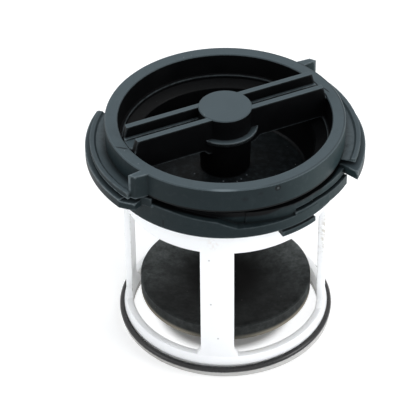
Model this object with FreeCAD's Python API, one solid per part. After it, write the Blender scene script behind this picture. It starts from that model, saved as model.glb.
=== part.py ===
import FreeCAD, Part
import math
import os

# Washing machine drain pump filter, standing on the open end of its cage with the cap on top.
# Origin: middle of the base, at table height. +Z runs up the filter axis, +X along the longest width.
# Four pieces: the cap, the cage, the seal ring at the foot of the cage and the rubber baffle disc.

# Sizes of the cage and its seal
SEAL_D = 60.0             # outside of the seal ring, the bore the filter goes into
SEAL_CORD = 1.7
SEAL_SIDES = 12           # flats that round the cord
WALL_STEP = 0.2           # cage wall behind the bottom of the seal groove
LIP_REACH = 0.5           # lip above the seal, beyond the bottom of the groove
FOOT_T = 1.75             # thin flange under the seal
FOOT_LIP = 0.3            # seal stands this much proud of the flange
CAGE_WALL = 1.8
SILL_Z = 6.0              # top of the closed ring at the foot
WINDOW_H = 36.8
BAND_H = 13.2             # closed band above the windows
POST_W = 9.0
POST_COUNT = 4
POST_ANGLE = -94.8
POST_FOOT_W = 1.2         # small gusset at the foot of each post
POST_FOOT_H = 2.2
EDGE = 0.25               # small rounding drawn as a bevel on moulded edges

# Snap ring that lets the cage turn in the cap
SWIVEL_GAP = 0.3
SNAP_STEP = 0.4
SNAP_H = 1.6
SNAP_DROP = 1.0           # below the top of the cage

# Sizes of the cap
COLLAR_WALL = 1.8
COLLAR_COVER = 4.3        # height of collar that hides the top of the cage
BAND_REACH = 2.4          # thick band round the foot of the collar, beyond its wall
BAND_LOW = 3.0            # height of the band away from the ramps
NECK_Z = 6.5              # top of the collar above its foot
NECK_H = 2.0              # dark groove under the ring
NECK_STEP = 0.3           # how far the groove lies behind the collar wall
RING_REACH = 2.1          # ring beyond the collar wall
RING_WALL = 3.5
RING_H = 7.1
DRAFT = 0.4               # how much the wall inside the ring leans in
LEDGE_Z = 1.0             # ledge inside the ring, above the foot of the ring
LEDGE_W = 0.9
SHELF_DROP = 1.1          # from the ledge down to the outside of the shelf
SHELF_FALL = 0.8          # slope of the shelf
SHELF_W = 3.2
CUP_DEPTH = 18.3          # from the top of the ring to the corner of the floor
CUP_DRAFT = 2.4
CUP_CORNER = 0.5
CUP_WALL = 1.8
FLOOR_RISE = 2.6          # the floor is a shallow cone

# Handle across the cup
HANDLE_ANGLE = 26.0
RIB_W = 1.6
RIB_PITCH = 6.9
RIB_RISE = 3.3            # rib tops above the ring
RIB_END_GAP = 1.1         # between the rib tops and the inside of the ring
BAR_DEPTH = 6.0           # solid bar between the ribs, open underneath
BAR_DROP = 0.2            # groove between the ribs, below the top of the ring
RIB_FILLET = 0.4          # at the foot of each rib
GUSSET = 1.4              # fillet from the bar to the column
KNOB_D = 14.4
KNOB_RISE = 0.1           # above the ribs
KNOB_H = 6.2
LEDGE_REACH = 1.6         # ledge round the foot of the knob
LEDGE_T = 1.2
COLUMN_DRAFT = 0.5

# Bayonet flanges, lugs and ramps, every one of them made twice, half a turn apart
FLANGE_UP_START = -18.0
FLANGE_UP_END = 46.5
FLANGE_UP_REACH = 4.0     # beyond the ring
FLANGE_UP_T = 0.9
FLANGE_SPREAD = 0.6       # the upper flange grows wider and thicker towards the lug
FLANGE_RISE = 0.8
RIM_W = 1.2               # raised outer edge of the upper flange
RIM_H = 0.5
FLANGE_LOW_START = -18.5
FLANGE_LOW_END = 42.5
FLANGE_LOW_REACH = 5.5
FLANGE_LOW_T = 2.5
FLANGE_SLOT = 1.2
TOE = 3.3                 # slanted start of the lower flange
TAIL_END = 48.6
TAIL_REACH = 3.5
TAIL_DROP = 0.4
LUG_REACH = 3.7
LUG_ROOT = 47.3           # angles at the ring, at the square corner and along the slope
LUG_SQUARE = 45.7
LUG_SLOPE = 48.8
LUG_END = 51.8
BLOCK_REACH = 3.8         # beyond the collar wall
BLOCK_START = 46.5
BLOCK_MIDDLE = 50.0
BLOCK_END = 53.5
BLOCK_GAP = 0.5           # under the ring
BLOCK_H = 2.7
RAMP_TOP = 62.0           # angles at which the ramp begins to fall, bends and ends
RAMP_BEND = 86.0
RAMP_FOOT = 97.0
RAMP_BEND_Z = 5.2
SHOULDER_START = 100.0
SHOULDER_REACH = 1.6
LATCH_START = 124.5
LATCH_TURN = 138.0        # from here the latch swings out towards the flange
LATCH_END = 162.0
LATCH_REACH = 2.3
LATCH_SWING = 1.7
LATCH_LIFT = 0.9
LATCH_TOP = 3.9
SLIT_W = 0.6              # between the latch and the shoulder above it
SLIT_DEPTH = 1.2
LIP_START = 117.5
LIP_END = 137.0
LIP_DROP = 2.5
LIP_T = 1.5
SWEEP_STEP = 4.5          # angle between the sections of a swept band

# Baffle disc and the spigot that carries it
BAFFLE_GAP = 2.4          # between the rim of the disc and the inside of the cage
BAFFLE_RIM = 4.8
BAFFLE_TOP_Z = 13.05
BAFFLE_EDGE = 1.6         # flat rim round the dish
BAFFLE_DISH = 2.2
BAFFLE_T = 2.0
HUB_D = 10.0
HUB_H = 3.4
SPIGOT_D = 3.8
SPIGOT_GRIP = 2.6         # depth of the spigot inside the hub
OVERLAP = 0.5             # how deep joined features run into one another

# Sizes worked out from the ones above
seal_mid_r = SEAL_D / 2 - SEAL_CORD / 2
seat_r = SEAL_D / 2 - SEAL_CORD
lip_r = seat_r + LIP_REACH
cage_r = seat_r - WALL_STEP
cage_in = cage_r - CAGE_WALL
foot_r = SEAL_D / 2 - FOOT_LIP
window_top = SILL_Z + WINDOW_H
cage_top = window_top + BAND_H
snap_r = cage_r + SNAP_STEP
snap_hi = cage_top - SNAP_DROP
snap_lo = snap_hi - SNAP_H
collar_in = cage_r + SWIVEL_GAP
collar_z = cage_top - COLLAR_COVER
web_z = cage_top + SWIVEL_GAP
collar_r = collar_in + COLLAR_WALL
band_r = collar_r + BAND_REACH
band_z = collar_z + BAND_LOW
neck_r = collar_r - NECK_STEP
neck_z = collar_z + NECK_Z
ring_r = collar_r + RING_REACH
ring_in = ring_r - RING_WALL
ring_z = neck_z + NECK_H
ring_top = ring_z + RING_H
ledge_z = ring_z + LEDGE_Z
shelf_z = ledge_z - SHELF_DROP
shelf_r = ring_in - DRAFT - LEDGE_W
cup_r = shelf_r - SHELF_W
cup_z = shelf_z - SHELF_FALL
floor_z = ring_top - CUP_DEPTH
floor_r = cup_r - CUP_DRAFT
cup_out = cage_in - SWIVEL_GAP
root_r = neck_r - OVERLAP
groove_z = ring_top - BAR_DROP
bar_z = groove_z - BAR_DEPTH
rib_top = ring_top + RIB_RISE
rib_end = ring_in - RIB_END_GAP
knob_r = KNOB_D / 2
knob_top = rib_top + KNOB_RISE
knob_z = knob_top - KNOB_H
flange_up_z = ring_z
flange_low_top = flange_up_z - FLANGE_SLOT
flange_low_z = flange_low_top - FLANGE_LOW_T
baffle_r = cage_in - BAFFLE_GAP
baffle_low = BAFFLE_TOP_Z - BAFFLE_RIM
dish_z = BAFFLE_TOP_Z - BAFFLE_DISH
hub_z = dish_z - HUB_H
spigot_z = dish_z - SPIGOT_GRIP

UP = FreeCAD.Vector(0, 0, 1)
ORIGIN = FreeCAD.Vector(0, 0, 0)


def turned(points, start=0.0, sweep=360.0):
    # A profile of (radius, height) points turned about the filter axis
    corners = [FreeCAD.Vector(r, 0, z) for r, z in points]
    face = Part.Face(Part.makePolygon(corners + [corners[0]]))
    if start:
        face.rotate(ORIGIN, UP, start)
    return face.revolve(ORIGIN, UP, sweep)


def oblong(r_in, r_out, z_low, z_high):
    return [(r_in, z_low), (r_out, z_low), (r_out, z_high), (r_in, z_high)]


def sector(r_in, r_out, z_low, z_high, start, end):
    # A piece of ring between two angles
    return turned(oblong(r_in, r_out, z_low, z_high), start, end - start)


def polar(radius, angle, z=0.0):
    return FreeCAD.Vector(
        radius * math.cos(math.radians(angle)),
        radius * math.sin(math.radians(angle)),
        z)


def plan(points, z_low, z_high):
    # A prism over a plan outline of (radius, angle) points
    corners = [polar(r, a, z_low) for r, a in points]
    face = Part.Face(Part.makePolygon(corners + [corners[0]]))
    return face.extrude(FreeCAD.Vector(0, 0, z_high - z_low))


def swept(bends):
    # A solid through (angle, profile) bends, its profile changing evenly between them
    stations = [bends[0]]
    for (angle, profile), (next_angle, next_profile) in zip(bends, bends[1:]):
        count = math.ceil((next_angle - angle) / SWEEP_STEP)
        for number in range(1, count + 1):
            share = number / count
            between = [(r + share * (next_r - r), z + share * (next_z - z))
                       for (r, z), (next_r, next_z) in zip(profile, next_profile)]
            stations.append((angle + share * (next_angle - angle), between))
    sections = []
    for angle, profile in stations:
        corners = [polar(r, angle, z) for r, z in profile]
        sections.append(Part.makePolygon(corners + [corners[0]]))
    return Part.makeLoft(sections, True, True)


def twice(shape):
    # The shape and its copy half a turn round
    other = shape.copy()
    other.rotate(ORIGIN, UP, 180)
    return [shape, other]


def bar(length, width, z_low, z_high, offset, angle):
    # A straight bar through the axis line, moved sideways by the offset
    box = Part.makeBox(length, width, z_high - z_low,
                       FreeCAD.Vector(-length / 2, offset - width / 2, z_low))
    box.rotate(ORIGIN, UP, angle)
    return box


def joined(shapes):
    whole = shapes[0]
    for shape in shapes[1:]:
        whole = whole.fuse(shape)
    return whole


# Cage: foot with the seal seat, closed ring, four posts and the band that goes up into the cap
def cage():
    foot = turned([
        (cage_in, 0.0),
        (foot_r - EDGE, 0.0),
        (foot_r, EDGE),
        (foot_r, FOOT_T),
        (seat_r, FOOT_T),
        (seat_r, FOOT_T + SEAL_CORD),
        (lip_r, FOOT_T + SEAL_CORD),
        (cage_r, SILL_Z),
        (cage_in, SILL_Z)])
    band = turned([
        (cage_in, window_top),
        (cage_r, window_top),
        (cage_r, snap_lo),
        (snap_r, snap_lo + SNAP_STEP),
        (snap_r, snap_hi - SNAP_STEP),
        (cage_r, snap_hi),
        (cage_r, cage_top - EDGE),
        (cage_r - EDGE, cage_top),
        (cage_in, cage_top)])
    tube = turned([
        (cage_in, SILL_Z - 1.0),
        (cage_r, SILL_Z - 1.0),
        (cage_r, window_top + 1.0),
        (cage_in, window_top + 1.0)])
    half = POST_W / 2
    outline = [
        (-half - POST_FOOT_W, SILL_Z - OVERLAP),
        (half + POST_FOOT_W, SILL_Z - OVERLAP),
        (half + POST_FOOT_W, SILL_Z),
        (half, SILL_Z + POST_FOOT_H),
        (half, window_top + OVERLAP),
        (-half, window_top + OVERLAP),
        (-half, SILL_Z + POST_FOOT_H),
        (-half - POST_FOOT_W, SILL_Z)]
    corners = [FreeCAD.Vector(0, y, z) for y, z in outline]
    slab = Part.Face(Part.makePolygon(corners + [corners[0]])).extrude(FreeCAD.Vector(SEAL_D, 0, 0))
    pieces = [foot, band]
    for number in range(POST_COUNT):
        post = slab.copy()
        post.rotate(ORIGIN, UP, POST_ANGLE + number * 360.0 / POST_COUNT)
        pieces.append(tube.common(post))
    return joined(pieces)


# Seal ring: round cord lying on the foot flange
def base_seal():
    half = SEAL_CORD / 2
    corner = half / math.cos(math.pi / SEAL_SIDES)
    section = []
    for number in range(SEAL_SIDES):
        turn = 2 * math.pi * (number + 0.5) / SEAL_SIDES
        section.append((seal_mid_r + corner * math.cos(turn),
                        FOOT_T + half + corner * math.sin(turn)))
    return turned(section)


# Baffle: dished rubber disc with a hub pushed on the spigot
def baffle():
    bore_r = SPIGOT_D / 2
    return turned([
        (0.0, hub_z),
        (HUB_D / 2, hub_z),
        (HUB_D / 2, dish_z - BAFFLE_T),
        (baffle_r - BAFFLE_EDGE, baffle_low),
        (baffle_r - EDGE, baffle_low),
        (baffle_r, baffle_low + EDGE),
        (baffle_r, BAFFLE_TOP_Z - EDGE),
        (baffle_r - EDGE, BAFFLE_TOP_Z),
        (baffle_r - BAFFLE_EDGE, BAFFLE_TOP_Z),
        (HUB_D / 2, dish_z),
        (bore_r, dish_z),
        (bore_r, spigot_z),
        (0.0, spigot_z)])


# Cap body: collar, neck groove, ring, stepped cup and floor, turned in one profile
def cap_body():
    channel_r = snap_r + SWIVEL_GAP
    return turned([
        (collar_in, collar_z),
        (band_r, collar_z),
        (band_r, band_z),
        (collar_r, band_z),
        (collar_r, neck_z),
        (neck_r, neck_z),
        (neck_r, ring_z),
        (ring_r, ring_z),
        (ring_r, ring_top - EDGE),
        (ring_r - EDGE, ring_top),
        (ring_in + EDGE, ring_top),
        (ring_in, ring_top - EDGE),
        (ring_in - DRAFT, ledge_z),
        (shelf_r, ledge_z),
        (shelf_r, shelf_z),
        (cup_r + EDGE, cup_z),
        (cup_r, cup_z - EDGE),
        (floor_r + CUP_CORNER, floor_z + CUP_CORNER),
        (floor_r, floor_z),
        (knob_r, floor_z + FLOOR_RISE),
        (0.0, floor_z + FLOOR_RISE),
        (0.0, floor_z + FLOOR_RISE - CUP_WALL),
        (knob_r, floor_z + FLOOR_RISE - CUP_WALL),
        (floor_r, floor_z - CUP_WALL),
        (cup_out - CUP_CORNER, floor_z - CUP_WALL),
        (cup_out, floor_z - CUP_WALL + CUP_CORNER),
        (cup_out, web_z),
        (collar_in, web_z),
        (collar_in, snap_hi + SWIVEL_GAP),
        (channel_r, snap_hi + SWIVEL_GAP - SNAP_STEP),
        (channel_r, snap_lo - SWIVEL_GAP + SNAP_STEP),
        (collar_in, snap_lo - SWIVEL_GAP)])


# Handle: two ribs on a bar that is open underneath
def handle_bar():
    reach = 2 * ring_r
    width = RIB_PITCH + RIB_W
    bounds = turned([
        (0.0, bar_z),
        (ring_in, bar_z),
        (ring_in, groove_z - OVERLAP),
        (rib_end, rib_top),
        (0.0, rib_top)])
    pieces = [bar(reach, width, bar_z, groove_z, 0, HANDLE_ANGLE)]
    for side in (-1, 1):
        offset = side * RIB_PITCH / 2
        pieces.append(bar(reach, RIB_W, bar_z, rib_top, offset, HANDLE_ANGLE))
        pieces.append(bar(reach, RIB_W + 2 * RIB_FILLET, bar_z + RIB_FILLET, groove_z + RIB_FILLET,
                          offset - side * RIB_FILLET, HANDLE_ANGLE))
    return joined(pieces).common(bounds)


# Knob on its column in the middle of the cup, with fillets up to the bar
def knob():
    ledge_r = knob_r + LEDGE_REACH
    column_z = floor_z + FLOOR_RISE - OVERLAP
    ledge_low = knob_z - LEDGE_T
    column = turned([
        (0.0, column_z),
        (knob_r - COLUMN_DRAFT, column_z),
        (knob_r, ledge_low - EDGE),
        (ledge_r - EDGE, ledge_low),
        (ledge_r, ledge_low + EDGE),
        (ledge_r, knob_z),
        (knob_r, knob_z),
        (knob_r, knob_top - EDGE),
        (knob_r - EDGE, knob_top),
        (0.0, knob_top)])
    half = (RIB_PITCH + RIB_W) / 2
    foot = knob_r - EDGE
    outline = [
        (-foot - GUSSET, bar_z),
        (-foot, bar_z - GUSSET),
        (foot, bar_z - GUSSET),
        (foot + GUSSET, bar_z),
        (foot + GUSSET, bar_z + EDGE),
        (-foot - GUSSET, bar_z + EDGE)]
    corners = [FreeCAD.Vector(x, -half, z) for x, z in outline]
    gusset = Part.Face(Part.makePolygon(corners + [corners[0]])).extrude(FreeCAD.Vector(0, 2 * half, 0))
    gusset.rotate(ORIGIN, UP, HANDLE_ANGLE)
    return column.fuse(gusset)


# Upper bayonet flange: thin, with a raised outer edge
def upper_flanges():
    bends = []
    for angle, spread, rise in ((FLANGE_UP_START, 0.0, 0.0),
                                (FLANGE_UP_END, FLANGE_SPREAD, FLANGE_RISE)):
        edge_r = ring_r + FLANGE_UP_REACH + spread
        top = flange_up_z + FLANGE_UP_T + rise
        bends.append((angle, [
            (root_r, flange_up_z),
            (edge_r, flange_up_z),
            (edge_r, top),
            (edge_r - RIM_W, top),
            (edge_r - RIM_W - RIM_H, top - RIM_H),
            (root_r, top - RIM_H)]))
    return twice(swept(bends))


# Lower bayonet flange: slanted at its start, with a tail that runs in to the block
def lower_flanges():
    outer_r = ring_r + FLANGE_LOW_REACH
    flange = sector(root_r, outer_r, flange_low_z, flange_low_top, FLANGE_LOW_START, FLANGE_LOW_END)
    toe_outline = [
        (root_r, FLANGE_LOW_START + 1),
        (outer_r, FLANGE_LOW_START + 1),
        (outer_r, FLANGE_LOW_START - TOE),
        (band_r, FLANGE_LOW_START),
        (root_r, FLANGE_LOW_START)]
    toe = plan(toe_outline, flange_low_z, flange_low_top)
    tail_top = flange_low_top - TAIL_DROP
    tail = swept([
        (FLANGE_LOW_END - 1, oblong(root_r, outer_r, flange_low_z, tail_top)),
        (FLANGE_LOW_END, oblong(root_r, outer_r, flange_low_z, tail_top)),
        (TAIL_END, oblong(root_r, ring_r + TAIL_REACH, flange_low_z, tail_top))])
    return twice(flange) + twice(toe) + twice(tail)


# Lug: square on the side of the flange, sloping back to the ring on the other
def lugs():
    outline = [
        (ring_r - OVERLAP, LUG_ROOT),
        (ring_r + LUG_REACH, LUG_SQUARE),
        (ring_r + LUG_REACH - OVERLAP, LUG_SLOPE),
        (ring_r - EDGE, LUG_END),
        (ring_r - OVERLAP, LUG_END)]
    return twice(plan(outline, flange_up_z, ring_top))


# Stop block that closes the slot behind each lug
def blocks():
    high = ring_z - BLOCK_GAP
    outline = [
        (root_r, BLOCK_START),
        (collar_r + BLOCK_REACH, BLOCK_START),
        (collar_r + BLOCK_REACH - 2 * OVERLAP, BLOCK_MIDDLE),
        (band_r, BLOCK_END),
        (root_r, BLOCK_END)]
    return twice(plan(outline, high - BLOCK_H, high))


# Ramp: high behind the block, falling in two slopes to the low band
def ramps():
    foot = band_z - OVERLAP
    ramp = swept([
        (BLOCK_START - 1, oblong(root_r, band_r, foot, neck_z)),
        (RAMP_TOP, oblong(root_r, band_r, foot, neck_z)),
        (RAMP_BEND, oblong(root_r, band_r, foot, collar_z + RAMP_BEND_Z)),
        (RAMP_FOOT, oblong(root_r, band_r, foot, band_z - EDGE))])
    return twice(ramp)


# Latch arm with the shoulder above it, both swinging out towards the flange, and a slit between
def latches():
    foot = band_z - OVERLAP
    shoulder_r = collar_r + SHOULDER_REACH
    latch_r = collar_r + LATCH_REACH
    latch_z = collar_z + LATCH_TOP
    slit_r = shoulder_r - SLIT_DEPTH
    shoulder = swept([
        (SHOULDER_START, oblong(root_r, collar_r + EDGE, foot, neck_z)),
        (LATCH_START, oblong(root_r, shoulder_r, foot, neck_z)),
        (LATCH_TURN, oblong(root_r, shoulder_r, foot, neck_z)),
        (LATCH_END, oblong(root_r, shoulder_r + LATCH_SWING, foot, neck_z))])
    arm = swept([
        (LATCH_START, oblong(root_r, latch_r, collar_z + LATCH_LIFT, latch_z)),
        (LATCH_TURN, oblong(root_r, latch_r, collar_z + LATCH_LIFT, latch_z)),
        (LATCH_END, oblong(root_r, latch_r + LATCH_SWING, collar_z + LATCH_LIFT, latch_z))])
    slit = swept([
        (LATCH_START + 1, oblong(slit_r, latch_r + 2, latch_z, latch_z + SLIT_W)),
        (LATCH_TURN, oblong(slit_r, latch_r + 2, latch_z, latch_z + SLIT_W)),
        (LATCH_END - 1, oblong(slit_r + LATCH_SWING, latch_r + LATCH_SWING + 2,
                               latch_z, latch_z + SLIT_W))])
    return twice(shoulder.cut(slit)) + twice(arm)


# Thin lip hanging under the latch arm
def lips():
    low = collar_z - LIP_DROP
    lip = sector(collar_r, band_r, low, low + LIP_T, LIP_START, LIP_END)
    neck = sector(collar_r, band_r - SLIT_W, low, collar_z + OVERLAP, LIP_START, LIP_END)
    return twice(lip.fuse(neck))


# Spigot: slim stem under the cup floor that carries the baffle
def spigot():
    height = floor_z + FLOOR_RISE - OVERLAP - spigot_z
    return Part.makeCylinder(SPIGOT_D / 2, height, FreeCAD.Vector(0, 0, spigot_z))


def cap():
    pieces = [cap_body(), handle_bar(), knob(), spigot()]
    pieces += upper_flanges()
    pieces += lower_flanges()
    pieces += lugs()
    pieces += blocks()
    pieces += ramps()
    pieces += latches()
    pieces += lips()
    return joined(pieces)


os.makedirs("parts", exist_ok=True)

nodes = {
    "filter_cap": cap(),
    "filter_cage": cage(),
    "base_seal": base_seal(),
    "baffle": baffle(),
}

for name, shape in nodes.items():
    if shape.ShapeType == "Compound" and len(shape.Solids) == 1:
        shape = shape.Solids[0]
    shape.exportStep("parts/" + name + ".step")
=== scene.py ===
import math

import bmesh
import bpy
from mathutils import Matrix, Vector


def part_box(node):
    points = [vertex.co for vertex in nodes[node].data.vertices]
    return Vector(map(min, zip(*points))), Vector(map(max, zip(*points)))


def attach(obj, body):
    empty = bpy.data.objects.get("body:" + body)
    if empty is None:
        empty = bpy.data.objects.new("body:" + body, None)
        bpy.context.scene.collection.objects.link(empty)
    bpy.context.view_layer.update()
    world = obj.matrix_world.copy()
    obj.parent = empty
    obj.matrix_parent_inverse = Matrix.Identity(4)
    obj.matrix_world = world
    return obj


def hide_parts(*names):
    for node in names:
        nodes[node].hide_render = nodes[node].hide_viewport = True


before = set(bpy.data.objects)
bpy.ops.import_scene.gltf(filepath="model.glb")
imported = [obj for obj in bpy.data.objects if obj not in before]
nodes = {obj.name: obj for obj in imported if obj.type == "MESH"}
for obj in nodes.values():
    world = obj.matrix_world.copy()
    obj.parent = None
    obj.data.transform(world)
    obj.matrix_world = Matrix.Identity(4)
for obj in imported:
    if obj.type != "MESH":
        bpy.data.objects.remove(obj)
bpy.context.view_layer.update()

MM = 0.001

# Camera fitted to the circles of the photograph
PHOTO_PX = 420.0
FOCAL_PX = 2300.0
SENSOR_MM = 36.0
CAMERA_DISTANCE = 657.6 * MM
CAMERA_ELEVATION = math.radians(41.066)
CAMERA_ROLL = math.radians(-0.159)
AIM_RIGHT = math.radians(-0.383)
AIM_UP = math.radians(2.391)
CLIP_START = 10 * MM

# Corners of the solids
cap_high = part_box("filter_cap")[1]
seal_low, seal_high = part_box("base_seal")
disc_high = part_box("baffle")[1]

# Sizes on the cap, measured down from its top and in from its widest band
KNOB_RISE = 3.4 * MM       # knob above the ring
LEDGE_DROP = 6.2 * MM      # ledge round the knob, below its top
LEDGE_R = 9.2 * MM
RING_HEIGHT = 7.1 * MM
RING_WALL = 3.5 * MM
NECK_HEIGHT = 2.0 * MM     # dark groove under the ring
BAND_PROUD = 0.3 * MM      # band round the collar, beyond the ring

ring_top = cap_high.z - KNOB_RISE
ring_foot = ring_top - RING_HEIGHT
neck_foot = ring_foot - NECK_HEIGHT
knob_ledge = cap_high.z - LEDGE_DROP
ring_r = cap_high.y - BAND_PROUD
ring_bore_r = ring_r - RING_WALL

# Cage, disc and seal
CAGE_R = 28.2 * MM
FOOT_STRIP_TOP = 1.9 * MM
DISC_FOOT = 8.25 * MM      # bottom edge of the disc's outer wall
SEAL_SAG_ANGLE = math.radians(-118)  # side on which the cord sits a little loose
SEAL_SAG_OUT = 0.40 * MM
SEAL_SAG_DOWN = 0.20 * MM
SEAL_STEPS = 144
CORD_SIDES = 20

# Gate pips: name, point and radius in millimetres
GATE_PIPS = (
    ("gate_pip_ring", (13.59, -29.31, 65.80), 0.55),
    ("gate_pip_lug", (-19.06, -28.75, 59.28), 0.35),
)
PIP_RISE = 0.12
PIP_TAPER = 0.85           # radius at the tip, as a share of that at the root
PIP_ROUNDING = 0.12        # rounding of the rims, as a share of the radius
PIP_SIDES = 20

MERGE_DISTANCE = 0.001 * MM

# Colours of the black moulding, among them painted shade, sheen, highlights and light; pairs are the two
# ends of a cloudy mix
# Painted shade: the inside of the cup is darker than the outer walls
CUP_SHADE_BLACK = (0.0013, 0.0014, 0.0017, 1), (0.0026, 0.0028, 0.0032, 1)
WALL_BLACK = (0.0070, 0.0125, 0.0145, 1), (0.0120, 0.0195, 0.0220, 1)
# Dust and painted sheen on faces that look up
SHEEN_AND_DUST_GREY = (0.052, 0.070, 0.079, 1), (0.068, 0.089, 0.099, 1)
MOTTLED_BLACK = (0.030, 0.038, 0.042, 1)
# Painted shade in corners and along the ring's foot
CORNER_SHADE_BLACK = (0.0020, 0.0022, 0.0026, 1)
RING_FOOT_SHADE_BLACK = (0.0016, 0.0020, 0.0024, 1)
SMUDGE_BLACK = (0.006, 0.007, 0.009, 1)
LINE_BLACK = (0.004, 0.005, 0.006, 1)
SEAM_BLACK = (0.014, 0.018, 0.021, 1)
# Wear and painted highlights on outer edges
WEAR_AND_HIGHLIGHT_GREY = (0.185, 0.220, 0.235, 1)
GATE_GREY = (0.12, 0.14, 0.14, 1)
LINT_GREY = (0.14, 0.155, 0.17, 1)
CAP_DUST = (0.30, 0.32, 0.33, 1)
# Painted light: makes the walls on the right side paler
RIGHT_SIDE_LIGHT = (1.95, 1.9, 1.8, 1)   # multiplies the colour of the walls

# Colours of the white moulding, its stains, and painted shade on its sill and foot strip
CAGE_WHITE = (0.935, 0.94, 0.94, 1), (0.955, 0.957, 0.953, 1)
FILM_TAN = (0.72, 0.60, 0.44, 1)
FRONT_STAIN = (0.60, 0.44, 0.32, 1)
SIDE_STAIN = (0.40, 0.34, 0.26, 1)
# Painted shade: under the disc on the sill, and along the foot strip
SILL_SHADE_BROWN = (0.46, 0.40, 0.28, 1)
FOOT_STRIP_SHADE = (0.42, 0.40, 0.37, 1)
EDGE_GRIME = (0.36, 0.33, 0.29, 1)
POST_SPECK = (0.20, 0.17, 0.15, 1)
FINE_SPECK = (0.35, 0.27, 0.18, 1)

# Colours of the two rubbers, with painted shade, sheen and highlights on the disc
SEAL_BLACK = (0.006, 0.006, 0.007, 1), (0.013, 0.013, 0.014, 1)
DISC_BLACK = (0.0008, 0.0008, 0.0008, 1)
# Dust with painted sheen, a painted highlight for the edges, and painted shade for the foot of the
# disc's wall
DISC_DUST_AND_SHEEN = (0.125, 0.136, 0.134, 1)
DISC_EDGE_HIGHLIGHT = (0.11, 0.12, 0.12, 1)
DISC_FOOT_SHADE_BROWN = (0.24, 0.215, 0.17, 1)
DISC_DUST = (0.18, 0.18, 0.17, 1)

# Marks: point and half sizes in millimetres, turn about the filter axis in degrees
KNIT_LINES = (
    ((-27.1, -14.0, 67.3), (2.4, 0.30, 0.6), -16),
    ((27.5, 11.8, 67.3), (1.8, 0.28, 0.6), -55),
)
COLLAR_NOTCH = ((-16.3, -28.3, 53.4), (0.30, 1.2, 1.5), 0)
# Painted shade of a hollow round the gate stub
GATE_HOLLOW_SHADE = ((13.6, -29.3, 65.8), (0.95, 0.95, 0.90), 0)
GATE_CORE = ((13.6, -29.4, 65.9), (0.26, 0.60, 0.26), 0)
RING_SMUDGES = (
    ((5.1, -31.9, 64.1), (1.3, 1.3, 1.2), 0),
    ((9.2, -31.0, 65.3), (1.0, 1.0, 0.9), 0),
)
# Wear and a painted highlight along the front of the ring's top edge
FRONT_WEAR_HIGHLIGHT = ((-0.6, -32.2, 67.3), (6.0, 0.8, 0.5), 0)
LINT_HALF = (0.32, 0.36, 1.0)
LINT_POINTS = (
    (-0.5, -8.0, 51.4), (3.2, -8.0, 51.4), (4.3, -7.0, 51.4), (5.8, -5.3, 51.4), (-8.3, -4.3, 51.3),
)
FRONT_POST_STAIN = ((-3.0, -28.0, 45.6), (2.6, 2.0, 3.4), 0)
RIGHT_POST_STAIN = ((27.6, -5.5, 31.5), (2.6, 5.0, 12.0), 0)
LEFT_POST_STAIN = ((-26.6, -8.3, 38.0), (2.6, 4.5, 5.5), 0)
# Painted shade of the disc on the sill
SILL_SHADE_SPOT = ((9.0, -24.6, 4.5), (9.0, 2.6, 2.6), 20)
POST_SPECK_HALF = (0.4, 0.6, 0.45)
POST_SPECK_POINTS = ((-4.4, -27.9, 40.1), (-4.0, -27.9, 24.7), (-2.1, -28.1, 12.6))
SOFT_CORE = 0.3            # share of a mark that is full strength

# Looking for corners and edges
SHELTER_SAMPLES = 8
BEVEL_SAMPLES = 4
EDGE_FULL = 0.45           # shelter at which an outer edge counts in full

# Studio
FLOOR_HALF = 3.0
FLOOR_CARD = (0.80, 0.79, 0.78, 1)
FLOOR_GLOW = (0.98, 0.99, 1.0, 1)
FLOOR_BOUNCE = (0.91, 0.92, 0.93, 1)
# Painted light: the floor glows brighter inside the cage
GLOW_IN_CAGE = 0.84
GLOW_OUTSIDE = 0.30
# Painted shadow of the disc on the floor
DISC_SHADE_FULL = 7.2 * MM  # in from the disc's rim, where its shade on the floor is full
DISC_SHADE_END = 3.4 * MM
DISC_SHADE_LEFT = 0.5 * MM  # the shade's middle lies this far to the left
DOME_TINT = (0.94, 0.97, 1.0, 1)
DOME_STRENGTH = 0.92
LAMP_AIM = Vector((0, 0, 0.04))
# Soft boxes: name, place, width, height, watts
SOFT_BOXES = (
    ("top_box", (0.0, 0.30, 0.85), 0.9, 0.7, 0.9),
    ("left_box", (-0.75, -0.20, 0.40), 0.5, 0.6, 1.6),
    ("right_box", (0.80, -0.25, 0.35), 0.5, 0.6, 3.8),
    ("front_box", (0.35, -0.95, 0.50), 0.9, 0.7, 1.3),
)


def put(tree, socket, value):
    # Links a socket to another node's output, or sets it
    if isinstance(value, bpy.types.NodeSocket):
        tree.links.new(value, socket)
    else:
        socket.default_value = value


def new_node(tree, kind, inputs=None, **settings):
    node = tree.nodes.new(kind)
    for key, value in settings.items():
        setattr(node, key, value)
    for key, value in (inputs or {}).items():
        put(tree, node.inputs[key], value)
    return node


def emptied_tree(owner):
    # Node tree of a material or world, with nothing in it
    owner.use_nodes = True
    owner.node_tree.nodes.clear()
    return owner.node_tree


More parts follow.
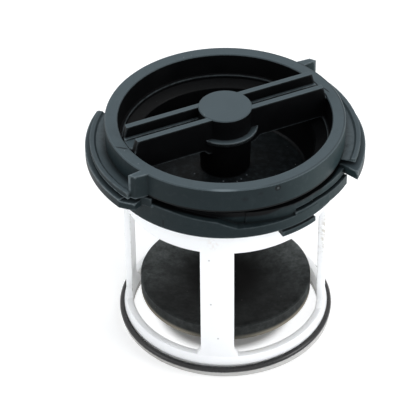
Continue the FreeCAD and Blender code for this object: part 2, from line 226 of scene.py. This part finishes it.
class Shader:
    # Builds one node material in Object coordinates

    def __init__(self, name):
        self.material = bpy.data.materials.new(name)
        self.tree = emptied_tree(self.material)
        self.surface = self.add("ShaderNodeBsdfPrincipled")
        self.add("ShaderNodeOutputMaterial", {"Surface": self.surface.outputs["BSDF"]})
        self.place = self.add("ShaderNodeTexCoord").outputs["Object"]
        self.sideways, self.depth, self.height = self.axes(self.place)
        self.upwards = self.axes(self.add("ShaderNodeNewGeometry").outputs["Normal"])[2]

    def add(self, kind, inputs=None, **settings):
        return new_node(self.tree, kind, inputs, **settings)

    def surface_takes(self, inputs):
        for key, value in inputs.items():
            put(self.tree, self.surface.inputs[key], value)

    def math(self, operation, first, second=0.0):
        return self.add("ShaderNodeMath", {0: first, 1: second}, operation=operation).outputs[0]

    def times(self, *factors):
        product = factors[0]
        for factor in factors[1:]:
            product = self.math("MULTIPLY", product, factor)
        return product

    def most(self, *values):
        top = values[0]
        for value in values[1:]:
            top = self.math("MAXIMUM", top, value)
        return top

    def opposite(self, mask):
        return self.math("SUBTRACT", 1.0, mask)

    def to_either_side(self):
        return self.math("ABSOLUTE", self.sideways)

    def axes(self, vector):
        return self.add("ShaderNodeSeparateXYZ", {0: vector}).outputs

    def length(self, vector):
        return self.add("ShaderNodeVectorMath", {0: vector}, operation="LENGTH").outputs["Value"]

    def from_axis(self):
        # Distance from the filter axis
        flat = self.add("ShaderNodeVectorMath", {0: self.place, 1: (1, 1, 0)}, operation="MULTIPLY")
        return self.length(flat.outputs[0])

    def ramp(self, value, low, high, to_low=0.0, to_high=1.0):
        # Smooth step of a value between two limits
        inputs = {"Value": value, "From Min": low, "From Max": high, "To Min": to_low, "To Max": to_high}
        return self.add("ShaderNodeMapRange", inputs, interpolation_type="SMOOTHSTEP").outputs["Result"]

    def between(self, value, low, high, soft):
        # 1 between two limits, fading to 0 over a soft width beyond them
        rise = self.ramp(value, low - soft, low)
        fall = self.ramp(value, high, high + soft, 1.0, 0.0)
        return self.times(rise, fall)

    def noise(self, size, detail=4.0, roughness=0.55, shift=0.0):
        # Noise whose main blobs are about the given size in metres
        moved = self.add("ShaderNodeMapping", {"Vector": self.place, "Location": (shift, shift, shift)})
        return self.add("ShaderNodeTexNoise", {
            "Vector": moved.outputs["Vector"],
            "Scale": 1.0 / size,
            "Detail": detail,
            "Roughness": roughness,
        }).outputs["Fac"]

    def specks(self, spacing, size, share):
        # Scattered dots of the given size, in a share of the cells
        inputs = {"Vector": self.place, "Scale": 1.0 / spacing}
        cells = self.add("ShaderNodeTexVoronoi", inputs, feature="F1")
        reach = size / spacing
        dot = self.ramp(cells.outputs["Distance"], reach * 0.5, reach, 1.0, 0.0)
        pick = self.math("LESS_THAN", self.axes(cells.outputs["Color"])[0], share)
        return self.times(dot, pick)

    def mark(self, spot, core=SOFT_CORE):
        # Soft blob on the object, given as point, half sizes and turn
        point, half_sizes, turn = spot
        inputs = {
            "Vector": self.place,
            "Location": [value * MM for value in point],
            "Rotation": (0, 0, math.radians(turn)),
            "Scale": [value * MM for value in half_sizes],
        }
        fitted = self.add("ShaderNodeMapping", inputs, vector_type="TEXTURE")
        return self.ramp(self.length(fitted.outputs["Vector"]), core, 1.0, 1.0, 0.0)

    def shelter(self, reach, inside=False):
        # 1 where other surfaces are near: in corners, or along outer edges when looked at from inside
        seen = self.add("ShaderNodeAmbientOcclusion", {"Distance": reach},
                        inside=inside, only_local=True, samples=SHELTER_SAMPLES)
        return self.opposite(seen.outputs["AO"])

    def outer_edges(self, reach, start):
        return self.ramp(self.shelter(reach, inside=True), start, EDGE_FULL)

    def mix(self, amount, first, second, blend="MIX"):
        inputs = {"Factor": amount, "A": first, "B": second}
        return self.add("ShaderNodeMix", inputs, data_type="RGBA", blend_type=blend).outputs["Result"]

    def over(self, colour, tint, *masks):
        # A tint laid over a colour, as strongly as the masks multiplied
        return self.mix(self.times(*masks), colour, tint)

    def relief(self, height, strength, depth, edge=0.0):
        # Normal of a fine relief, with moulded edges softened over the given radius
        inputs = {"Height": height, "Strength": strength, "Distance": depth}
        if edge:
            soft = self.add("ShaderNodeBevel", {"Radius": edge}, samples=BEVEL_SAMPLES)
            inputs["Normal"] = soft.outputs["Normal"]
        return self.add("ShaderNodeBump", inputs).outputs["Normal"]


class CapPlastic(Shader):
    # Satin black moulding; blue grey on faces that look up, from handling, dust and painted sheen;
    # painted shade makes it near black inside the cup, in the groove under the ring and in corners;
    # painted highlights along its edges

    def __init__(self):
        super().__init__("cap_plastic")
        self.across = self.from_axis()
        self.cloud = self.noise(9 * MM, detail=5.0)
        self.mottle = self.noise(1.6 * MM, roughness=0.65)
        self.facing_up = self.ramp(self.upwards, 0.3, 0.9)
        self.outside = self.ramp(self.across, ring_bore_r + 0.05 * MM, ring_bore_r + 0.4 * MM)
        self.open_top = self.ramp(self.height, ring_top - 1.2 * MM, ring_top - 0.6 * MM)
        self.under_ring = self.groove_under_ring()
        # clear is 1 away from the painted shade in the groove
        self.clear = self.opposite(self.groove())
        self.ring_shade = self.times(
            self.between(self.height, ring_foot - 0.05 * MM, ring_foot + 0.35 * MM, 0.25 * MM),
            self.between(self.across, ring_r - 0.5 * MM, ring_r + 0.05 * MM, 0.12 * MM))
        colour = self.sheen_and_dust_on_tops(self.walls())
        colour = self.shaded_places(colour)
        colour = self.worn_and_highlighted_edges(colour)
        colour = self.moulding_marks(colour)
        colour = self.wear_highlight_lint_and_dust(colour)
        self.surface_takes({
            "Base Color": colour,
            "Roughness": self.ramp(self.cloud, 0.3, 0.7, 0.38, 0.50),
            "Specular IOR Level": 0.09,
            "Normal": self.relief(self.noise(0.5 * MM, detail=3.0), 0.2, 0.05 * MM, edge=0.25 * MM),
        })

    def groove_under_ring(self):
        return self.times(
            self.ramp(self.across, ring_r, ring_r - 0.3 * MM),
            self.ramp(self.across, ring_r - 3 * MM, ring_r - 2.8 * MM),
            self.ramp(self.height, ring_foot + 0.04 * MM, ring_foot))

    def groove(self):
        # Painted shade: the groove under the ring is painted black, ending lower down near the ring's
        # own wall
        end = self.ramp(self.across, ring_r - 1.4 * MM, ring_r - 0.8 * MM,
                        neck_foot - 1.8 * MM, neck_foot - 0.7 * MM)
        above_end = self.ramp(self.height, end, self.math("ADD", end, 0.8 * MM))
        return self.times(self.under_ring, above_end)

    def walls(self):
        # Painted shade: near black inside the cup and in the groove under the ring, a little darker
        # right under the ring
        cup = self.mix(self.cloud, *CUP_SHADE_BLACK)
        wall = self.mix(self.cloud, *WALL_BLACK)
        # Painted shade: walls right under the ring are darkened a little
        shaded = self.ramp(self.under_ring, 0.0, 1.0, 1.0, 0.80)
        return self.over(cup, wall, self.outside, self.clear, shaded)

    def sheen_and_dust_on_tops(self, colour):
        # Dust and painted sheen on faces that look up: ring, ribs, knob and flanges seen from above, and
        # the ledge round the knob; dust on the cup floor
        flange_top = self.times(
            self.ramp(self.across, ring_r + 0.2 * MM, ring_r + 2.3 * MM, 0.22, 1.0),
            self.ramp(self.across, ring_r, ring_r + 0.2 * MM),
            self.ramp(self.height, neck_foot, ring_foot, 0.55, 0.96))
        ledge = self.times(
            self.between(self.height, knob_ledge - 0.6 * MM, knob_ledge + 0.6 * MM, 0.2 * MM),
            self.ramp(self.across, LEDGE_R, LEDGE_R + 0.2 * MM, 0.85, 0.0))
        floor_dust = self.times(
            self.ramp(self.mottle, 0.40, 0.72, 0.06, 0.24),
            self.ramp(self.height, ring_foot - 6 * MM, ring_foot - 4 * MM, 1.0, 0.10))
        sheen_and_dust = self.most(self.open_top, flange_top, ledge, floor_dust)
        grey = self.mix(self.cloud, *SHEEN_AND_DUST_GREY)
        colour = self.over(colour, grey, self.facing_up, self.clear, sheen_and_dust)
        blotches = self.ramp(self.mottle, 0.50, 0.70)
        return self.over(colour, MOTTLED_BLACK, blotches, self.outside, self.clear, 0.16)

    def shaded_places(self, colour):
        # Painted shade in the corners and along the ring's foot, and painted light that makes the walls
        # on the right side paler
        corners = self.ramp(self.shelter(2.2 * MM), 0.12, 0.60)
        colour = self.over(colour, CORNER_SHADE_BLACK, corners, 0.75)
        colour = self.over(colour, RING_FOOT_SHADE_BLACK, self.ring_shade, 0.9)
        lit_right_walls = self.times(
            self.ramp(self.sideways, 8 * MM, 28 * MM),
            self.outside, self.clear, self.opposite(self.facing_up))
        return self.mix(lit_right_walls, colour, RIGHT_SIDE_LIGHT, blend="MULTIPLY")

    def worn_and_highlighted_edges(self, colour):
        # Wear and painted highlights along the outer edges and the flange's rim
        edges = self.times(
            self.outer_edges(0.9 * MM, 0.22),
            self.ramp(self.mottle, 0.25, 0.6, 0.35, 1.0))
        wear_and_highlight = self.times(
            self.ramp(self.height, ring_foot - 2 * MM, knob_ledge, 0.16, 0.50),
            self.ramp(self.height, ring_top + 0.2 * MM, ring_top + 0.5 * MM, 1.0, 0.25))
        flange_rim_highlight = self.times(
            self.ramp(self.across, ring_r + 2.4 * MM, ring_r + 3.0 * MM),
            self.between(self.height, neck_foot, ring_foot, 0.5 * MM), 0.75)
        return self.over(colour, WEAR_AND_HIGHLIGHT_GREY, edges, self.clear, self.most(wear_and_highlight, flange_rim_highlight),
                         self.opposite(self.ring_shade))

    def moulding_marks(self, colour):
        # Smudges on the ring, knit lines across it, the collar's notch, painted shade of a hollow round
        # the gate with the gate's core, and the ring's seam
        smudges = self.most(*[self.mark(spot, 0.1) for spot in RING_SMUDGES])
        colour = self.over(colour, SMUDGE_BLACK, smudges, 0.55)
        lines = [self.mark(spot, 0.5) for spot in (*KNIT_LINES, COLLAR_NOTCH)]
        colour = self.over(colour, LINE_BLACK, self.most(*lines, self.mark(GATE_HOLLOW_SHADE, 0.85)), 0.85)
        colour = self.over(colour, GATE_GREY, self.mark(GATE_CORE, 0.4), 0.6)
        seam = self.times(
            self.between(self.across, ring_r - 0.50 * MM, ring_r - 0.20 * MM, 0.15 * MM),
            self.facing_up, self.open_top, self.ramp(self.sideways, 7 * MM, 13 * MM))
        return self.over(colour, SEAM_BLACK, seam, 0.45)

    def wear_highlight_lint_and_dust(self, colour):
        # Wear and a painted highlight on the front of the ring's top edge, lint on the cup floor, and
        # dust on what faces up
        colour = self.over(colour, WEAR_AND_HIGHLIGHT_GREY, self.mark(FRONT_WEAR_HIGHLIGHT, 0.2), 0.55)
        for point in LINT_POINTS:
            colour = self.over(colour, LINT_GREY, self.mark((point, LINT_HALF, 0)), 0.7)
        return self.over(colour, CAP_DUST, self.specks(1.9 * MM, 0.16 * MM, 0.18), self.facing_up, 0.6)


def cage_plastic():
    # White translucent moulding with a few brown water stains, and painted shade on the sill and along
    # the foot strip
    s = Shader("cage_plastic")
    film = s.ramp(s.noise(5 * MM, detail=5.0, shift=0.4), 0.62, 0.74)
    patchy = s.ramp(s.noise(1.1 * MM, detail=5.0, shift=0.2), 0.42, 0.68)
    colour = s.mix(s.noise(14 * MM, detail=3.0), *CAGE_WHITE)
    colour = s.over(colour, FILM_TAN, film, 0.06)

    # Stains on the posts; painted shade of the disc on the sill; and painted shade, brownish, along the
    # foot strip under the seal, stronger on the left
    side_stains = s.most(s.mark(RIGHT_POST_STAIN), s.mark(LEFT_POST_STAIN))
    colour = s.over(colour, FRONT_STAIN, s.mark(FRONT_POST_STAIN), patchy, 0.26)
    colour = s.over(colour, SIDE_STAIN, side_stains, s.ramp(patchy, 0.0, 1.0, 0.18, 1.0), 0.68)
    colour = s.over(colour, SILL_SHADE_BROWN, s.mark(SILL_SHADE_SPOT), 0.45)
    strip = s.ramp(s.height, FOOT_STRIP_TOP, FOOT_STRIP_TOP - 0.3 * MM)
    colour = s.over(colour, FOOT_STRIP_SHADE, strip, s.ramp(s.sideways, -2 * MM, -17 * MM, 0.78, 0.92))

    # Grime along the edges of the side posts, and specks
    side_posts = s.ramp(s.to_either_side(), 23 * MM, 25.5 * MM)
    grime = s.times(s.outer_edges(0.6 * MM, 0.25), s.ramp(patchy, 0.0, 1.0, 0.4, 1.0))
    colour = s.over(colour, EDGE_GRIME, grime, side_posts, 0.5)
    for point in POST_SPECK_POINTS:
        colour = s.over(colour, POST_SPECK, s.mark((point, POST_SPECK_HALF, 0)), 0.55)
    colour = s.over(colour, FINE_SPECK, s.specks(8 * MM, 0.22 * MM, 0.25), 0.4)

    s.surface_takes({
        "Base Color": colour,
        "Roughness": 0.36,
        "Subsurface Weight": 0.6,
        "Subsurface Scale": 1.0,
        "Subsurface Radius": (0.0055, 0.0055, 0.0052),
        "Normal": s.relief(s.noise(0.8 * MM), 0.08, 0.03 * MM, edge=0.25 * MM),
    })
    return s.material


def seal_rubber():
    # Smooth black cord, slightly shiny
    s = Shader("seal_rubber")
    cloud = s.noise(4 * MM)
    s.surface_takes({
        "Base Color": s.mix(cloud, *SEAL_BLACK),
        "Roughness": s.ramp(cloud, 0.3, 0.7, 0.24, 0.34),
        "Specular IOR Level": 0.4,
        "Normal": s.relief(s.noise(0.6 * MM), 0.1, 0.03 * MM),
    })
    return s.material


def baffle_rubber():
    # Matte rubber, near black in the middle with painted shade; dried dust mixed with painted sheen
    # grows towards the rim, towards the back and on its wall; painted highlights on its edges, and
    # painted shade, brownish, at the foot of its wall
    s = Shader("baffle_rubber")
    rim = s.ramp(s.from_axis(), 6 * MM, 22 * MM)
    # Painted sheen: lighter towards the back
    sheen_to_the_back = s.ramp(s.depth, -14 * MM, 9 * MM, 0.20, 1.0)
    on_wall = s.ramp(s.upwards, 0.2, 0.5, 1.55, 1.0)
    cloud = s.ramp(s.noise(6 * MM, detail=6.0, roughness=0.65), 0.30, 0.75, 0.45, 1.0)
    film = s.noise(1.4 * MM, detail=5.0, roughness=0.7)
    patches = s.ramp(film, 0.3, 0.7, 0.55, 1.0)
    colour = s.over(DISC_BLACK, DISC_DUST_AND_SHEEN, rim, sheen_to_the_back, on_wall, cloud, patches)
    # Painted highlight along the disc's outer edges
    colour = s.over(colour, DISC_EDGE_HIGHLIGHT, s.outer_edges(0.9 * MM, 0.22), 0.25)
    # Painted shade, brownish, at the foot of the disc's wall, stronger at the sides
    foot = s.ramp(s.height, DISC_FOOT + 2.0 * MM, DISC_FOOT + 0.6 * MM)
    ends = s.ramp(s.to_either_side(), 3 * MM, 15 * MM, 0.30, 0.85)
    colour = s.over(colour, DISC_FOOT_SHADE_BROWN, foot, ends)
    colour = s.over(colour, DISC_DUST, s.specks(2.2 * MM, 0.2 * MM, 0.16), 0.35)
    s.surface_takes({
        "Base Color": colour,
        "Roughness": 0.66,
        "Specular IOR Level": 0.08,
        "Normal": s.relief(film, 0.25, 0.08 * MM, edge=0.3 * MM),
    })
    return s.material


def dress(node, material):
    for slot in nodes[node].material_slots:
        slot.material = material


def finished(name, shape, material, body):
    # A new piece with its mesh at the origin, smooth shaded, riding on its body
    mesh = bpy.data.meshes.new(name)
    shape.to_mesh(mesh)
    shape.free()
    for face in mesh.polygons:
        face.use_smooth = True
    piece = bpy.data.objects.new(name, mesh)
    bpy.context.scene.collection.objects.link(piece)
    mesh.materials.append(material)
    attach(piece, body)
    return piece


def seal_cord(material):
    # Round cord of the seal, spun about the filter axis and sagging a little on one side
    cord_r = (seal_high.z - seal_low.z) / 2
    middle = Vector((seal_high.x - cord_r, 0, (seal_high.z + seal_low.z) / 2))
    shape = bmesh.new()
    stand = Matrix.Translation(middle) @ Matrix.Rotation(math.radians(90), 4, "X")
    bmesh.ops.create_circle(shape, segments=CORD_SIDES, radius=cord_r, matrix=stand)
    bmesh.ops.spin(shape, geom=shape.verts[:] + shape.edges[:], cent=(0, 0, 0), axis=(0, 0, 1),
                   angle=math.radians(360), steps=SEAL_STEPS, use_merge=True)
    bmesh.ops.remove_doubles(shape, verts=shape.verts, dist=MERGE_DISTANCE)
    bmesh.ops.recalc_face_normals(shape, faces=shape.faces)
    for vert in shape.verts:
        turn = math.atan2(vert.co.y, vert.co.x) - SEAL_SAG_ANGLE
        share = max(0.0, math.cos(turn)) ** 2
        vert.co += vert.co.xy.normalized().to_3d() * SEAL_SAG_OUT * share
        vert.co.z -= SEAL_SAG_DOWN * share
    piece = finished("seal_cord", shape, material, "cage")
    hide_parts("base_seal")


def gate_pip(name, point, radius, material):
    # Small round stub that the moulding gate leaves on an outside wall
    out = Vector((point[0], point[1], 0)).normalized()
    foot = Vector(point) * MM - out * PIP_RISE * MM
    place = Matrix.Translation(foot) @ out.to_track_quat("Z", "Y").to_matrix().to_4x4()
    shape = bmesh.new()
    bmesh.ops.create_cone(shape, cap_ends=True, segments=PIP_SIDES, radius1=radius * MM,
                          radius2=radius * PIP_TAPER * MM, depth=4 * PIP_RISE * MM, matrix=place)
    rims = [edge for edge in shape.edges if len({round(v.co.dot(out), 6) for v in edge.verts}) == 1]
    bmesh.ops.bevel(shape, geom=rims, offset=PIP_ROUNDING * radius * MM, affect="EDGES", segments=2,
                    profile=0.5, material=-1)
    bmesh.ops.recalc_face_normals(shape, faces=shape.faces)
    finished(name, shape, material, "cap")


def seen_directly(tree):
    # 1 for rays that show the background, 0 for those that only light the object
    path = new_node(tree, "ShaderNodeLightPath").outputs
    shown = path["Is Camera Ray"]
    for ray in ("Is Glossy Ray", "Is Transmission Ray"):
        either = new_node(tree, "ShaderNodeMath", {0: shown, 1: path[ray]}, operation="MAXIMUM")
        shown = either.outputs[0]
    return shown


def floor_glow(tree):
    # Lifts the floor to white, with painted light that lifts it more inside the cage and a painted
    # shadow that takes the lift away right under the disc
    place = new_node(tree, "ShaderNodeTexCoord").outputs["Object"]
    shifted = new_node(tree, "ShaderNodeVectorMath", {0: place, 1: (DISC_SHADE_LEFT, 0, 0)})
    reach = new_node(tree, "ShaderNodeVectorMath", {0: shifted.outputs["Vector"]}, operation="LENGTH")

    def step(near, far, at_near, at_far):
        inputs = {
            "Value": reach.outputs["Value"],
            "From Min": near,
            "From Max": far,
            "To Min": at_near,
            "To Max": at_far,
        }
        eased = new_node(tree, "ShaderNodeMapRange", inputs, interpolation_type="SMOOTHSTEP")
        return eased.outputs["Result"]

    past_disc = step(disc_high.x - DISC_SHADE_FULL, disc_high.x - DISC_SHADE_END, 0.0, 1.0)
    in_cage = step(CAGE_R - MM, CAGE_R + 2 * MM, GLOW_IN_CAGE, GLOW_OUTSIDE)
    return new_node(tree, "ShaderNodeMath", {0: past_disc, 1: in_cage}, operation="MULTIPLY").outputs[0]


def floor_white():
    material = bpy.data.materials.new("floor_white")
    tree = emptied_tree(material)
    card = new_node(tree, "ShaderNodeBsdfDiffuse", {"Color": FLOOR_CARD})
    glow = new_node(tree, "ShaderNodeEmission", {"Color": FLOOR_GLOW, "Strength": floor_glow(tree)})
    shown = new_node(tree, "ShaderNodeAddShader", {0: card.outputs[0], 1: glow.outputs[0]})
    bounce = new_node(tree, "ShaderNodeBsdfDiffuse", {"Color": FLOOR_BOUNCE})
    choice = new_node(tree, "ShaderNodeMixShader",
                      {0: seen_directly(tree), 1: bounce.outputs[0], 2: shown.outputs[0]})
    new_node(tree, "ShaderNodeOutputMaterial", {"Surface": choice.outputs[0]})
    return material


def studio_floor():
    mesh = bpy.data.meshes.new("floor")
    corners = [(x * FLOOR_HALF, y * FLOOR_HALF, 0) for x, y in ((-1, -1), (1, -1), (1, 1), (-1, 1))]
    mesh.from_pydata(corners, [], [(0, 1, 2, 3)])
    mesh.materials.append(floor_white())
    floor = bpy.data.objects.new("floor", mesh)
    bpy.context.scene.collection.objects.link(floor)


def studio_world():
    world = bpy.data.worlds.new("studio")
    bpy.context.scene.world = world
    tree = emptied_tree(world)
    dome = new_node(tree, "ShaderNodeBackground", {"Color": DOME_TINT, "Strength": DOME_STRENGTH})
    shown = new_node(tree, "ShaderNodeBackground", {"Color": (1, 1, 1, 1)})
    choice = new_node(tree, "ShaderNodeMixShader",
                      {0: seen_directly(tree), 1: dome.outputs[0], 2: shown.outputs[0]})
    new_node(tree, "ShaderNodeOutputWorld", {"Surface": choice.outputs[0]})


def soft_box(name, place, width, height, watts):
    lamp = bpy.data.lights.new(name, "AREA")
    lamp.shape = "RECTANGLE"
    lamp.size = width
    lamp.size_y = height
    lamp.energy = watts
    holder = bpy.data.objects.new(name, lamp)
    bpy.context.scene.collection.objects.link(holder)
    holder.location = place
    holder.rotation_euler = (LAMP_AIM - Vector(place)).to_track_quat("-Z", "Y").to_euler()


def photo_camera():
    # Looks down at the filter's foot from in front, then is aimed a little up and left, and rolled
    ahead = Vector((0, math.cos(CAMERA_ELEVATION), -math.sin(CAMERA_ELEVATION)))
    right = Vector((1, 0, 0))
    up = right.cross(ahead)
    place = -CAMERA_DISTANCE * ahead
    ahead = (ahead + math.tan(AIM_RIGHT) * right + math.tan(AIM_UP) * up).normalized()
    side = ahead.cross(up).normalized()
    top = side.cross(ahead)
    roll_cos = math.cos(CAMERA_ROLL)
    roll_sin = math.sin(CAMERA_ROLL)
    x_axis = roll_cos * side + roll_sin * top
    y_axis = -roll_sin * side + roll_cos * top
    data = bpy.data.cameras.new("photo_camera")
    data.sensor_width = SENSOR_MM
    data.lens = FOCAL_PX / PHOTO_PX * SENSOR_MM
    data.clip_start = CLIP_START
    camera = bpy.data.objects.new("photo_camera", data)
    bpy.context.scene.collection.objects.link(camera)
    turn = Matrix((x_axis, y_axis, -ahead)).transposed()
    camera.matrix_world = Matrix.Translation(place) @ turn.to_4x4()
    bpy.context.scene.camera = camera


cap_black = CapPlastic().material
seal_black = seal_rubber()
dress("filter_cap", cap_black)
dress("filter_cage", cage_plastic())
dress("baffle", baffle_rubber())
dress("base_seal", seal_black)
seal_cord(seal_black)
for name, point, radius in GATE_PIPS:
    gate_pip(name, point, radius, cap_black)

studio_floor()
studio_world()
for box in SOFT_BOXES:
    soft_box(*box)
photo_camera()
bpy.context.scene.view_settings.view_transform = "Standard"
